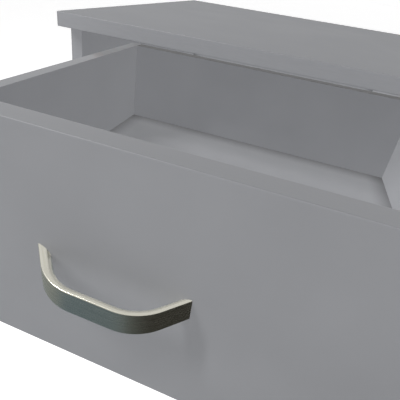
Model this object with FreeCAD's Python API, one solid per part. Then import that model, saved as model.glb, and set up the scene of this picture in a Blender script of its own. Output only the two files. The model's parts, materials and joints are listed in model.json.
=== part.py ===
"""Writing desk with one drawer pedestal, modelled as flat-pack furniture.

A desktop rests on a three-drawer pedestal at the left and an end panel at the right, and a
modesty panel ties the two together behind the kneehole. Each drawer is a board box on a pair of
roller runners, with a bowed D-section handle on its front. The upper drawer stands open.

Units are millimetres. +X runs to the right of a person sitting at the desk, +Y away from them
and +Z up. Z = 0 is the floor, X = 0 the middle of the desktop, and Y = 0 the middle of the whole
depth from the open drawer's handle to the desktop's back edge.
"""

import FreeCAD, Part
import math
import os

from FreeCAD import Vector

# ---------------------------------------------------------------------------------------------
# Driving dimensions
# ---------------------------------------------------------------------------------------------

# Desk
desk_length = 1150.0
desk_depth = 536.0
desk_height = 740.0
top_thickness = 18.0
board_thickness = 16.0
side_overhang = 8.0
rear_overhang = 8.0
front_recess = 16.0
top_edge_chamfer = 0.6

# Pedestal and end of the desk
pedestal_width = 496.0
base_underside = 104.0
plinth_recess = 40.0
plinth_floor_gap = 4.0
back_thickness = 3.2
back_inset = 10.0
back_groove_depth = 6.0
modesty_height = 350.0
modesty_inset = 30.0
groove_clearance = 0.2
groove_end_gap = 0.5

# Glides under the upright panels
glide_height = 3.0
glide_radius = 7.0
glide_inset = 40.0
glide_nail_radius = 1.5
glide_nail_length = 12.0

# Drawers
drawer_names = ("top", "middle", "bottom")
drawer_travel = 260.0
top_drawer_open = 235.0
front_thickness = 16.0
front_gap = 4.0
front_end_inset = 1.0
front_standoff = 1.0
front_edge_chamfer = 0.6
drawer_board = 15.0
drawer_inside_length = 341.0
drawer_side_drop = 28.0
drawer_side_rise = 40.0
floor_thickness = 3.0
floor_groove_height = 12.0
floor_groove_depth = 5.0

# Handles
handle_offset = -36.2
handle_rise = 1.7
handle_length = 112.6
handle_projection = 25.3
handle_height = 17.6
handle_depth = 7.2
handle_bend_radius = 40.0
handle_leg_slope = 45.0
handle_edge_radius = 0.8
handle_hole_inset = 8.3
handle_thread_depth = 5.0
handle_screw_radius = 2.0
handle_screw_head_radius = 4.0
handle_screw_head_height = 2.4

# Roller runners
runner_side_gap = 12.5
runner_length = 350.0
runner_setback = 2.0
runner_sheet = 1.2
fixed_flange_clearance = 1.8
roller_radius = 8.5
roller_width = 6.0
roller_play = 0.3
roller_end_inset = 12.0
axle_height = 2.0
pin_radius = 2.0
pin_fit = 0.05
pin_head_radius = 3.5
pin_head_height = 1.0
fixed_roller_gap = 0.7
moving_roller_gap = 0.7
running_flange_gap = 1.0
running_flange_headroom = 0.7
sole_width = 11.5
stop_tab_height = 5.0
stop_tab_clearance = 0.4

# Fastenings
fastening_fit = 0.05
cam_radius = 7.5
cam_depth = 12.0
cam_setback = 34.0
cam_bolt_radius = 3.4
cam_bolt_bore = 4.0
cam_channel_gap = 0.3
cam_thread_radius = 2.5
cam_thread_length = 11.0
cam_slot_width = 1.4
cam_slot_depth = 1.5
dowel_radius = 4.0
dowel_edge_length = 18.0
dowel_face_length = 11.0
hole_bottom_gap = 0.5
box_screw_radius = 2.0
box_screw_length = 38.0
box_screw_head_radius = 4.0
box_screw_head_height = 3.0
runner_screw_radius = 1.75
runner_screw_length = 12.0
runner_screw_head_radius = 3.0
runner_screw_head_height = 0.9
system_hole_inset = 37.0
system_hole_step = 128.0
sole_screw_radius = 1.5
sole_screw_length = 10.0
sole_screw_inset = 6.5
sole_screw_places = (40.0, 175.0, 310.0)

# ---------------------------------------------------------------------------------------------
# Sizes that follow from the driving dimensions
# ---------------------------------------------------------------------------------------------

handle_reach = top_drawer_open + front_standoff + front_thickness - front_recess + handle_projection
top_front_y = (handle_reach - desk_depth) / 2
top_back_y = top_front_y + desk_depth
top_left_x = -desk_length / 2
top_right_x = desk_length / 2
top_underside = desk_height - top_thickness

carcass_front_y = top_front_y + front_recess
carcass_back_y = top_back_y - rear_overhang
pedestal_left_x = top_left_x + side_overhang
pedestal_right_x = pedestal_left_x + pedestal_width
cavity_left_x = pedestal_left_x + board_thickness
cavity_right_x = pedestal_right_x - board_thickness
end_outer_x = top_right_x - side_overhang
end_inner_x = end_outer_x - board_thickness
back_rear_y = carcass_back_y - back_inset
back_front_y = back_rear_y - back_thickness
modesty_rear_y = carcass_back_y - modesty_inset
modesty_front_y = modesty_rear_y - board_thickness
base_top = base_underside + board_thickness

drawer_count = len(drawer_names)
fronts_height = top_underside - front_gap - base_underside
front_height = (fronts_height - front_gap * (drawer_count - 1)) / drawer_count
drawer_side_height = front_height - drawer_side_drop - drawer_side_rise
front_inner_y = carcass_front_y - front_standoff
front_outer_y = front_inner_y - front_thickness
box_left_x = cavity_left_x + runner_side_gap
box_right_x = cavity_right_x - runner_side_gap
box_back_y = front_inner_y + drawer_inside_length + drawer_board

moving_leg_start = runner_side_gap - runner_sheet
fixed_flange_reach = moving_leg_start - fixed_flange_clearance
running_flange_start = runner_sheet + running_flange_gap
fixed_roller_start = runner_sheet + fixed_roller_gap
moving_roller_start = moving_leg_start - moving_roller_gap - roller_width
flange_underside = axle_height + roller_radius + roller_play
channel_floor = axle_height - roller_radius - roller_play
channel_ceiling = flange_underside + runner_sheet + running_flange_headroom
fixed_runner_front_y = carcass_front_y + runner_setback
fixed_axle_y = fixed_runner_front_y + roller_end_inset
moving_runner_front_y = carcass_front_y
moving_axle_y = moving_runner_front_y + runner_length - roller_end_inset


# ---------------------------------------------------------------------------------------------
# Shape helpers
# ---------------------------------------------------------------------------------------------

def block(x, y, z):
    """A box from three (low, high) pairs."""
    return Part.makeBox(x[1] - x[0], y[1] - y[0], z[1] - z[0], Vector(x[0], y[0], z[0]))


def rod(radius, length, start, direction):
    """A round bar of a given length that starts at a point."""
    return Part.makeCylinder(radius, length, start, direction)


def cut_all(shape, tools):
    """The shape with every tool taken out of it."""
    return shape.cut(tools) if tools else shape


def fused(pieces):
    """Touching pieces made into one clean solid."""
    whole = pieces[0].fuse(pieces[1:])
    return whole.removeSplitter()


def chamfered_front(shape, y_face, size):
    """Break the edges that bound the face lying at y_face."""
    on_face = [e for e in shape.Edges if all(abs(v.Y - y_face) < 1e-6 for v in e.Vertexes)]
    return shape.makeChamfer(size, on_face)


def save(node, solids):
    """Write one node: a single solid or a group of separate ones."""
    shape = solids[0] if len(solids) == 1 else Part.makeCompound(solids)
    shape.exportStep(os.path.join("parts", node + ".step"))
    print(f"{node:32s} {len(solids):3d} solid(s) {shape.Volume / 1000:10.2f} cm3")


# ---------------------------------------------------------------------------------------------
# Fastenings. Each returns its solids and the holes it needs in the boards it joins.
# ---------------------------------------------------------------------------------------------

def cam_fitting(joint_point, to_mate, cam_face, half_board):
    """A cam disc and its bolt, pulling the edge of one board on to the face of another.

    joint_point lies where the bolt crosses the joint, to_mate points into the other board, and
    cam_face is the outward normal of the face that the cam is set into.
    """
    cam_centre = joint_point - to_mate * cam_setback
    cam_mouth = cam_centre + cam_face * half_board
    disc = rod(cam_radius, cam_depth, cam_mouth, cam_face * -1)
    channel_radius = cam_bolt_radius + cam_channel_gap
    channel = rod(channel_radius, 2 * cam_radius, cam_centre - to_mate * channel_radius, to_mate)
    slot_turn = to_mate.cross(cam_face)
    slot_corner = cam_mouth - slot_turn * cam_radius * 0.7 - to_mate * cam_slot_width / 2
    slot_face = Part.makePolygon([
        slot_corner,
        slot_corner + slot_turn * cam_radius * 1.4,
        slot_corner + slot_turn * cam_radius * 1.4 + to_mate * cam_slot_width,
        slot_corner + to_mate * cam_slot_width,
        slot_corner,
    ])
    slot = Part.Face(slot_face).extrude(cam_face * -cam_slot_depth)
    cam = disc.cut([channel, slot])
    shank = rod(cam_bolt_radius, cam_setback, cam_centre, to_mate)
    thread = rod(cam_thread_radius, cam_thread_length, joint_point, to_mate)
    bolt = fused([shank, thread])
    pocket = rod(cam_radius + fastening_fit, cam_depth + hole_bottom_gap, cam_mouth, cam_face * -1)
    bore = rod(cam_bolt_bore, cam_setback, cam_centre, to_mate)
    thread_hole = rod(
        cam_thread_radius + fastening_fit, cam_thread_length + hole_bottom_gap, joint_point, to_mate)
    return [cam, bolt], [pocket, bore], [thread_hole]


def dowel(joint_point, to_mate):
    """A wooden dowel, its longer end in the edge of one board and its shorter in the other's face."""
    length = dowel_edge_length + dowel_face_length
    peg = rod(dowel_radius, length, joint_point - to_mate * dowel_edge_length, to_mate)
    edge_depth = dowel_edge_length + hole_bottom_gap
    face_depth = dowel_face_length + hole_bottom_gap
    edge_hole = rod(dowel_radius + fastening_fit, edge_depth, joint_point, to_mate * -1)
    face_hole = rod(dowel_radius + fastening_fit, face_depth, joint_point, to_mate)
    return peg, edge_hole, face_hole


def flat_head_screw(seat, direction, radius, length, head_radius, head_height):
    """A screw whose head stands on a surface: seat is where the shank enters it."""
    head = rod(head_radius, head_height, seat - direction * head_height, direction)
    shank = rod(radius, length, seat, direction)
    return fused([head, shank])


def screw_hole(seat, direction, radius, length):
    """The hole that a screw's shank runs in."""
    return rod(radius + fastening_fit, length + hole_bottom_gap, seat, direction)


# ---------------------------------------------------------------------------------------------
# Carcass
# ---------------------------------------------------------------------------------------------

LEFT = Vector(-1, 0, 0)
RIGHT = Vector(1, 0, 0)
FRONT = Vector(0, -1, 0)
BACK = Vector(0, 1, 0)
UP = Vector(0, 0, 1)
DOWN = Vector(0, 0, -1)

cam_places_under_top = (carcass_front_y + 170.0, carcass_back_y - 80.0)
dowel_places_under_top = (carcass_front_y + 50.0, carcass_back_y - 30.0)
cam_places_on_base = (carcass_front_y + 110.0, back_front_y - 60.0)
dowel_places_on_base = (carcass_front_y + 30.0, back_front_y - 30.0)
dowel_places_on_plinth = (base_underside * 0.3, base_underside * 0.75)
cam_places_on_modesty = (top_underside - 90.0, top_underside - modesty_height + 60.0)
dowel_places_on_modesty = (top_underside - 50.0, top_underside - modesty_height + 25.0)


def drawer_levels(index):
    """Heights of one drawer: its front's underside and top edge, and its sides' underside."""
    front_top = top_underside - front_gap - index * (front_height + front_gap)
    front_bottom = front_top - front_height
    side_bottom = front_bottom + drawer_side_rise
    return front_bottom, front_top, side_bottom


def system_hole_places():
    """Where the fixed runners are screwed to the uprights, from front to back."""
    return [carcass_front_y + system_hole_inset + step * system_hole_step for step in range(3)]


def upright(x_low):
    """A plain upright board that carries the desktop."""
    return block(
        (x_low, x_low + board_thickness), (carcass_front_y, carcass_back_y), (glide_height, top_underside))


def glide(x_low, y):
    """One nail-on glide under an upright, and its nail hole."""
    foot = Vector(x_low + board_thickness / 2, y, 0)
    seat = foot + UP * glide_height
    nail = rod(glide_nail_radius, glide_height + glide_nail_length, foot, UP)
    pad = rod(glide_radius, glide_height, foot, UP)
    return fused([pad, nail]), screw_hole(seat, UP, glide_nail_radius, glide_nail_length)


def build_carcass():
    """Every fixed board with its fastenings, as node name to list of solids."""
    top = block((top_left_x, top_right_x), (top_front_y, top_back_y), (top_underside, desk_height))
    top = top.makeChamfer(top_edge_chamfer, top.Edges)

    uprights = {
        "pedestal_left_side": (pedestal_left_x, RIGHT),
        "pedestal_right_side": (cavity_right_x, LEFT),
        "end_panel": (end_inner_x, LEFT),
    }
    holes = {node: [] for node in (*uprights, "desktop", "pedestal_base", "plinth", "modesty_panel")}
    cams = []
    dowels = []
    glides = []

    for node, (x_low, inward) in uprights.items():
        x_middle = x_low + board_thickness / 2
        for y in cam_places_under_top:
            joint = Vector(x_middle, y, top_underside)
            solids, cam_holes, mate_holes = cam_fitting(joint, UP, inward, board_thickness / 2)
            cams += solids
            holes[node] += cam_holes
            holes["desktop"] += mate_holes
        for y in dowel_places_under_top:
            peg, edge_hole, face_hole = dowel(Vector(x_middle, y, top_underside), UP)
            dowels.append(peg)
            holes[node].append(edge_hole)
            holes["desktop"].append(face_hole)
        for y in (carcass_front_y + glide_inset, carcass_back_y - glide_inset):
            pad, nail_hole = glide(x_low, y)
            glides.append(pad)
            holes[node].append(nail_hole)

    base_middle = (base_underside + base_top) / 2
    plinth_front_y = carcass_front_y + plinth_recess
    plinth_middle_y = plinth_front_y + board_thickness / 2
    modesty_middle_y = (modesty_front_y + modesty_rear_y) / 2

    base_ends = (("pedestal_left_side", cavity_left_x, LEFT), ("pedestal_right_side", cavity_right_x, RIGHT))
    for node, x, outward in base_ends:
        for y in cam_places_on_base:
            joint = Vector(x, y, base_middle)
            solids, cam_holes, mate_holes = cam_fitting(joint, outward, DOWN, board_thickness / 2)
            cams += solids
            holes["pedestal_base"] += cam_holes
            holes[node] += mate_holes
        for y in dowel_places_on_base:
            peg, edge_hole, face_hole = dowel(Vector(x, y, base_middle), outward)
            dowels.append(peg)
            holes["pedestal_base"].append(edge_hole)
            holes[node].append(face_hole)
        for z in dowel_places_on_plinth:
            peg, edge_hole, face_hole = dowel(Vector(x, plinth_middle_y, z), outward)
            dowels.append(peg)
            holes["plinth"].append(edge_hole)
            holes[node].append(face_hole)

    modesty_ends = (("pedestal_right_side", pedestal_right_x, LEFT), ("end_panel", end_inner_x, RIGHT))
    for node, x, outward in modesty_ends:
        for z in cam_places_on_modesty:
            joint = Vector(x, modesty_middle_y, z)
            solids, cam_holes, mate_holes = cam_fitting(joint, outward, BACK, board_thickness / 2)
            cams += solids
            holes["modesty_panel"] += cam_holes
            holes[node] += mate_holes
        for z in dowel_places_on_modesty:
            peg, edge_hole, face_hole = dowel(Vector(x, modesty_middle_y, z), outward)
            dowels.append(peg)
            holes["modesty_panel"].append(edge_hole)
            holes[node].append(face_hole)

    groove_y = (back_front_y - groove_clearance / 2, back_rear_y + groove_clearance / 2)
    groove_z = (base_underside - groove_end_gap, top_underside)
    holes["pedestal_left_side"].append(
        block((cavity_left_x - back_groove_depth, cavity_left_x), groove_y, groove_z))
    holes["pedestal_right_side"].append(
        block((cavity_right_x, cavity_right_x + back_groove_depth), groove_y, groove_z))

    runner_screws = []
    for index in range(drawer_count):
        side_bottom = drawer_levels(index)[2]
        for node, x, outward in base_ends:
            for y in system_hole_places():
                seat = Vector(x, y, side_bottom + axle_height) - outward * runner_sheet
                length = runner_screw_length + runner_sheet
                runner_screws.append(flat_head_screw(
                    seat, outward, runner_screw_radius, length,
                    runner_screw_head_radius, runner_screw_head_height))
                holes[node].append(screw_hole(seat, outward, runner_screw_radius, length))

    boards = {node: upright(x_low) for node, (x_low, _) in uprights.items()}
    boards["desktop"] = top
    boards["pedestal_base"] = block(
        (cavity_left_x, cavity_right_x), (carcass_front_y, back_front_y), (base_underside, base_top))
    boards["plinth"] = block(
        (cavity_left_x, cavity_right_x), (plinth_front_y, plinth_front_y + board_thickness),
        (plinth_floor_gap, base_underside))
    boards["modesty_panel"] = block(
        (pedestal_right_x, end_inner_x), (modesty_front_y, modesty_rear_y),
        (top_underside - modesty_height, top_underside))

    nodes = {node: [cut_all(board, holes[node])] for node, board in boards.items()}
    back_reach = back_groove_depth - groove_end_gap
    nodes["pedestal_back"] = [block(
        (cavity_left_x - back_reach, cavity_right_x + back_reach), (back_front_y, back_rear_y),
        (base_underside, top_underside))]
    nodes["glides"] = glides
    nodes["carcass_cam_fittings"] = cams
    nodes["carcass_dowels"] = dowels
    nodes["fixed_runner_screws"] = runner_screws
    return nodes


# ---------------------------------------------------------------------------------------------
# Runners. A section is given by its distance from the pedestal's inner face towards the drawer,
# and by its height above the drawer side's underside.
# ---------------------------------------------------------------------------------------------

class RunnerSide:
    """Places a runner's section at the left or the right of a drawer."""

    def __init__(self, wall_x, towards_drawer, side_bottom):
        self.wall_x = wall_x
        self.towards_drawer = towards_drawer
        self.side_bottom = side_bottom

    def x(self, distance):
        return self.wall_x + self.towards_drawer.x * distance

    def bar(self, across, y, height):
        """A box from ranges across the gap, along the desk's depth and up."""
        x_pair = sorted((self.x(across[0]), self.x(across[1])))
        return block(x_pair, y, (self.side_bottom + height[0], self.side_bottom + height[1]))

    def axle_point(self, distance, y):
        return Vector(self.x(distance), y, self.side_bottom + axle_height)


def runner_sides(index):
    """The left and the right runner place of one drawer."""
    side_bottom = drawer_levels(index)[2]
    return (("left", RunnerSide(cavity_left_x, RIGHT, side_bottom)),
            ("right", RunnerSide(cavity_right_x, LEFT, side_bottom)))


def axle_pin(place, y, root, head_start, direction):
    """A riveted pin with a head that keeps its roller on."""
    start = place.axle_point(root, y)
    pin = rod(pin_radius, abs(head_start - root), start, direction)
    head = rod(pin_head_radius, pin_head_height, place.axle_point(head_start, y), direction)
    return [pin, head]


def roller(place, y, start):
    """One plastic roller with its bore."""
    foot = place.axle_point(start, y)
    wheel = rod(roller_radius, roller_width, foot, place.towards_drawer)
    bore = rod(pin_radius + pin_fit, roller_width, foot, place.towards_drawer)
    return wheel.cut(bore)


def fixed_runner(place):
    """The channel screwed to the pedestal, with the front roller's pin and the out-stop tab."""
    y = (fixed_runner_front_y, fixed_runner_front_y + runner_length)
    web_height = (channel_floor - runner_sheet, channel_ceiling + runner_sheet)
    web = place.bar((0, runner_sheet), y, web_height)
    lower = place.bar((0, fixed_flange_reach), y, (channel_floor - runner_sheet, channel_floor))
    upper = place.bar((0, fixed_flange_reach), y, (channel_ceiling, channel_ceiling + runner_sheet))
    tab_top = channel_floor + stop_tab_height
    half_chord = math.sqrt(roller_radius ** 2 - (axle_height - tab_top) ** 2)
    tab_rear_y = moving_axle_y - drawer_travel - half_chord - stop_tab_clearance
    tab = place.bar(
        (fixed_flange_reach / 2, fixed_flange_reach), (tab_rear_y - runner_sheet, tab_rear_y),
        (channel_floor, tab_top))
    head_start = fixed_roller_start + roller_width + roller_play
    pin = axle_pin(place, fixed_axle_y, runner_sheet, head_start, place.towards_drawer)
    screw_seats = [place.axle_point(0, hole_y) for hole_y in system_hole_places()]
    screw_holes = [screw_hole(seat, place.towards_drawer, runner_screw_radius, runner_sheet)
                   for seat in screw_seats]
    return fused([web, lower, upper, tab] + pin).cut(screw_holes)


def sole_screw_seats(place):
    """Where the moving runner is screwed up into the drawer side."""
    across = runner_side_gap + sole_screw_inset
    return [Vector(place.x(across), moving_runner_front_y + y, place.side_bottom - runner_sheet)
            for y in sole_screw_places]


def moving_runner(place):
    """The angle under the drawer side, with its running flange and the rear roller's pin."""
    y = (moving_runner_front_y, moving_runner_front_y + runner_length)
    flange_top = flange_underside + runner_sheet
    sole = place.bar((moving_leg_start, runner_side_gap + sole_width), y, (-runner_sheet, 0))
    leg = place.bar((moving_leg_start, runner_side_gap), y, (-runner_sheet, flange_top))
    flange = place.bar((running_flange_start, runner_side_gap), y, (flange_underside, flange_top))
    head_start = moving_roller_start - roller_play
    pin = axle_pin(place, moving_axle_y, moving_leg_start, head_start, place.towards_drawer * -1)
    holes = [screw_hole(seat, UP, sole_screw_radius, runner_sheet) for seat in sole_screw_seats(place)]
    return fused([sole, leg, flange] + pin).cut(holes)


# ---------------------------------------------------------------------------------------------
# Handle
# ---------------------------------------------------------------------------------------------

def handle_outline():
    """Half of the handle's outer plan: straight grip, round bend, straight leg.

    Returns the end of the grip, the middle and the end of the bend and the foot, each as
    (distance from the handle's middle, distance in front of the drawer front).
    """
    slope = math.radians(handle_leg_slope)
    bend_run = handle_bend_radius * math.sin(slope)
    bend_drop = handle_bend_radius * (1 - math.cos(slope))
    leg_run = (handle_projection - bend_drop) / math.tan(slope)
    grip_end = handle_length / 2 - leg_run - bend_run
    half_turn = slope / 2
    bend_middle = (grip_end + handle_bend_radius * math.sin(half_turn),
                   handle_projection - handle_bend_radius * (1 - math.cos(half_turn)))
    bend_end = (grip_end + bend_run, handle_projection - bend_drop)
    foot = (handle_length / 2 + handle_depth, -handle_depth * math.tan(slope))
    return (grip_end, handle_projection), bend_middle, bend_end, foot


def handle_centre_x():
    return (pedestal_left_x + pedestal_right_x) / 2 + handle_offset


def build_handle(centre_z):
    """A bowed bar of D section whose two feet are cut flat to stand on the drawer front."""
    centre_x = handle_centre_x()

    def at(side, point):
        return Vector(centre_x + side * point[0], front_outer_y - point[1], centre_z)

    grip_end, bend_middle, bend_end, foot = handle_outline()
    path = Part.Wire([
        Part.LineSegment(at(-1, foot), at(-1, bend_end)).toShape(),
        Part.Arc(at(-1, bend_end), at(-1, bend_middle), at(-1, grip_end)).toShape(),
        Part.LineSegment(at(-1, grip_end), at(1, grip_end)).toShape(),
        Part.Arc(at(1, grip_end), at(1, bend_middle), at(1, bend_end)).toShape(),
        Part.LineSegment(at(1, bend_end), at(1, foot)).toShape(),
    ])

    start = at(-1, foot)
    along = at(-1, bend_end) - start
    along.normalize()
    inward = UP.cross(along) * -1
    if inward.x < 0:
        inward = inward * -1
    half = handle_height / 2
    edge = handle_edge_radius
    corner = edge * (1 - math.sqrt(0.5))

    def section(depth, height):
        return start + inward * depth + UP * height

    profile = Part.Wire([
        Part.LineSegment(section(0, -half + edge), section(0, half - edge)).toShape(),
        Part.Arc(section(0, half - edge), section(corner, half - corner), section(edge, half)).toShape(),
        Part.Arc(section(edge, half), section(handle_depth, 0), section(edge, -half)).toShape(),
        Part.Arc(section(edge, -half), section(corner, -half + corner), section(0, -half + edge)).toShape(),
    ])
    bar = path.makePipeShell([profile], True, True)
    trim = block(
        (centre_x - handle_length, centre_x + handle_length),
        (front_outer_y, front_outer_y + handle_length), (centre_z - handle_length, centre_z + handle_length))
    holes = [
        rod(handle_screw_radius + fastening_fit, handle_thread_depth + hole_bottom_gap, seat, FRONT)
        for seat in handle_screw_seats(centre_z, front_outer_y)
    ]
    return bar.cut([trim] + holes)


def handle_screw_seats(centre_z, y):
    """The two screw axes where they cross a plane of constant y."""
    half_spacing = handle_length / 2 - handle_hole_inset
    return [Vector(handle_centre_x() + side * half_spacing, y, centre_z) for side in (-1, 1)]


# ---------------------------------------------------------------------------------------------
# Drawers, built closed
# ---------------------------------------------------------------------------------------------

def build_drawer(index):
    """The moving pieces of one drawer in its closed place, as part name to list of solids."""
    front_bottom, front_top, side_bottom = drawer_levels(index)
    side_top = side_bottom + drawer_side_height
    floor_low = side_bottom + floor_groove_height
    floor_top = floor_low + floor_thickness
    handle_z = (front_bottom + front_top) / 2 + handle_rise
    inner_left = box_left_x + drawer_board
    inner_right = box_right_x - drawer_board
    back_front = box_back_y - drawer_board

    front_holes = []
    side_holes = {"left": [], "right": []}
    back_holes = []
    cams = []
    back_screws = []
    runner_screws = []

    corners = (("left", box_left_x, RIGHT), ("right", box_right_x, LEFT))
    cam_heights = (side_bottom + 37.0, side_top - 33.0)
    screw_heights = (side_bottom + 40.0, side_top - 30.0)
    for name, outer_x, inward in corners:
        board_middle = outer_x + inward.x * drawer_board / 2
        for z in cam_heights:
            joint = Vector(board_middle, front_inner_y, z)
            solids, cam_holes, mate_holes = cam_fitting(joint, FRONT, inward, drawer_board / 2)
            cams += solids
            side_holes[name] += cam_holes
            front_holes += mate_holes
        for z in screw_heights:
            seat = Vector(outer_x, box_back_y - drawer_board / 2, z)
            head = Part.makeCone(
                box_screw_head_radius, box_screw_radius, box_screw_head_height, seat, inward)
            shank = rod(box_screw_radius, box_screw_length, seat, inward)
            back_screws.append(fused([head, shank]))
            sink = Part.makeCone(
                box_screw_head_radius + fastening_fit, box_screw_radius + fastening_fit,
                box_screw_head_height, seat, inward)
            hole = screw_hole(seat, inward, box_screw_radius, box_screw_length)
            side_holes[name] += [sink, hole]
            back_holes.append(hole)

    handle_screws = []
    screw_length = front_thickness + handle_thread_depth
    for seat in handle_screw_seats(handle_z, front_inner_y):
        handle_screws.append(flat_head_screw(
            seat, FRONT, handle_screw_radius, screw_length,
            handle_screw_head_radius, handle_screw_head_height))
        front_holes.append(screw_hole(seat, FRONT, handle_screw_radius, screw_length))

    groove_z = (floor_low - groove_clearance / 2, floor_top + groove_clearance / 2)
    groove_x = (inner_left - floor_groove_depth, inner_right + floor_groove_depth)
    groove_y = (front_inner_y - floor_groove_depth, box_back_y)
    floor_groove = block(groove_x, groove_y, groove_z)

    runners = {}
    rollers = []
    for name, place in runner_sides(index):
        runners[f"{name}_runner"] = [moving_runner(place)]
        rollers.append(roller(place, moving_axle_y, moving_roller_start))
        for seat in sole_screw_seats(place):
            length = runner_sheet + sole_screw_length
            runner_screws.append(flat_head_screw(
                seat, UP, sole_screw_radius, length, runner_screw_head_radius, runner_screw_head_height))
            side_holes[name].append(screw_hole(seat, UP, sole_screw_radius, length))

    front = block(
        (pedestal_left_x + front_end_inset, pedestal_right_x - front_end_inset),
        (front_outer_y, front_inner_y), (front_bottom, front_top))
    front = chamfered_front(front, front_outer_y, front_edge_chamfer)
    side_y = (front_inner_y, box_back_y)
    side_z = (side_bottom, side_top)
    left_side = block((box_left_x, inner_left), side_y, side_z)
    right_side = block((inner_right, box_right_x), side_y, side_z)
    back = block((inner_left, inner_right), (back_front, box_back_y), (floor_top, side_top))
    floor = block(
        (groove_x[0] + groove_end_gap, groove_x[1] - groove_end_gap),
        (groove_y[0] + groove_end_gap, box_back_y), (floor_low, floor_top))

    pieces = {
        "front": [front.cut(front_holes + [floor_groove])],
        "left_side": [left_side.cut(side_holes["left"] + [floor_groove])],
        "right_side": [right_side.cut(side_holes["right"] + [floor_groove])],
        "back": [back.cut(back_holes)],
        "floor": [floor],
        "handle": [build_handle(handle_z)],
        "handle_screws": handle_screws,
        "cam_fittings": cams,
        "back_screws": back_screws,
        "runner_screws": runner_screws,
        "rollers": rollers,
    }
    pieces.update(runners)
    return pieces


# ---------------------------------------------------------------------------------------------
# Build
# ---------------------------------------------------------------------------------------------

os.makedirs("parts", exist_ok=True)

for node, solids in build_carcass().items():
    save(node, solids)

for index, name in enumerate(drawer_names):
    opening = top_drawer_open if name == "top" else 0.0
    shift = FRONT * opening
    for piece, solids in build_drawer(index).items():
        save(f"{name}_drawer_{piece}", [solid.translated(shift) for solid in solids])
    fixed_rollers = []
    for side, place in runner_sides(index):
        save(f"{name}_fixed_{side}_runner", [fixed_runner(place)])
        fixed_rollers.append(roller(place, fixed_axle_y, fixed_roller_start))
    save(f"{name}_fixed_rollers", fixed_rollers)

print("front height", round(front_height, 3), "desktop front edge at y", round(top_front_y, 3))
print("kneehole width", round(end_inner_x - pedestal_right_x, 1))
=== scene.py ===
# %% [markdown]
# # A grey writing desk with one drawer pulled open
# The desk is flat-pack furniture: fibreboard under a matt grey foil, held together with cams,
# dowels and screws, and three drawers on roller runners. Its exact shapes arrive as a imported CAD
# frame. This lesson gives that frame its looks: eased board edges, bowed metal handles, small
# fittings, finishes drawn by shader nodes, soft studio light and a camera.

import json
import math

import bmesh
import bpy
from mathutils import Matrix, Vector


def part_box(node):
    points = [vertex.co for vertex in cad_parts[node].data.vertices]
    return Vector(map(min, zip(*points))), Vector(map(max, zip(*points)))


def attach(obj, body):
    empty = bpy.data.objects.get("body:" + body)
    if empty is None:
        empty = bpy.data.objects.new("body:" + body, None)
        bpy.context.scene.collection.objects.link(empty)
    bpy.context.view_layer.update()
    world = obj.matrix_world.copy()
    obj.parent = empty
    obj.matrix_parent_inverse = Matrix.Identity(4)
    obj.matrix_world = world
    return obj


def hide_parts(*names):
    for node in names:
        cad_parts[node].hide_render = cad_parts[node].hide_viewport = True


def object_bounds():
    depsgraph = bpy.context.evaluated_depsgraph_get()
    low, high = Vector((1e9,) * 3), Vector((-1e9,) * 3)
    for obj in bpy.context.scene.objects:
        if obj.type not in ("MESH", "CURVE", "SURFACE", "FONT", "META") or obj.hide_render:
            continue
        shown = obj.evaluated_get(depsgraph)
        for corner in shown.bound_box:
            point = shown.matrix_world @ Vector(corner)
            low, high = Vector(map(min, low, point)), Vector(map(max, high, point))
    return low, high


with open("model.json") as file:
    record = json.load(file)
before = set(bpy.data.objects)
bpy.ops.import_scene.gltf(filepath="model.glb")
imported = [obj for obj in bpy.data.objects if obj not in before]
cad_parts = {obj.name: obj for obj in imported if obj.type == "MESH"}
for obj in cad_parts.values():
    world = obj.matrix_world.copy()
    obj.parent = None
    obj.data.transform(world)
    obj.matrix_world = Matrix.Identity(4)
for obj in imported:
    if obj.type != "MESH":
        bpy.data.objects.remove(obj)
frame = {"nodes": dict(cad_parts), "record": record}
cad_low, cad_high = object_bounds()
nodes = frame["nodes"]
bodies = frame["record"]["behaviour"]["bodies"]
body_of = {node: body for body, members in bodies.items() for node in members}
slot_of = {part["node"]: part["material_slot"] for part in frame["record"]["subparts"]}
print(len(nodes), "nodes on", len(bodies), "bodies, box", [round(v, 3) for v in cad_high - cad_low])

# %% [markdown]
# ## Units and colours
# Blender works in metres and in linear light, while a maker talks of millimetres and picks
# colours from a chart. Two small helpers translate, so every size below can be read in
# millimetres and every colour as an ordinary hex value.

# %% Millimetres and hex colours
MM = 0.001


def per_metre(size_mm):
    """How many pattern features of this size fit in one metre: the Scale of a noise texture."""
    return 1 / (size_mm * MM)


def linear(hex_colour):
    """An sRGB hex colour as the linear RGBA that shaders work in."""
    channels = [int(hex_colour[i:i + 2], 16) / 255 for i in (1, 3, 5)]
    return [c / 12.92 if c <= 0.04045 else ((c + 0.055) / 1.055) ** 2.4 for c in channels] + [1.0]


print("mid grey #808080 is", round(linear("#808080")[0], 3), "in linear light")

# %% [markdown]
# ## Camera
# The eye is just above the desktop, near its left end, and looks down into the open drawer with
# a wide lens that is tipped a little to one side. Its place is given from the desktop's front
# left corner, which the frame knows. The shift slides the view down, as a crop of a larger
# picture does, without bending the upright lines.

# %% Place the camera
EYE_FROM_CORNER = Vector((300.8, -374.94, 64.97)) * MM
EYE_HEADING = 13.98  # degrees, as are the next two
EYE_DOWN = 26.79
EYE_ROLL = 8.46
SENSOR_WIDTH = 36.0  # mm
FOCAL_LENGTH = 30.288  # mm
VIEW_SHIFT = -0.1382  # of the sensor's width

desktop_low, desktop_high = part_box("desktop")
front_left_corner = Vector((desktop_low.x, desktop_low.y, desktop_high.z))

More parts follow.
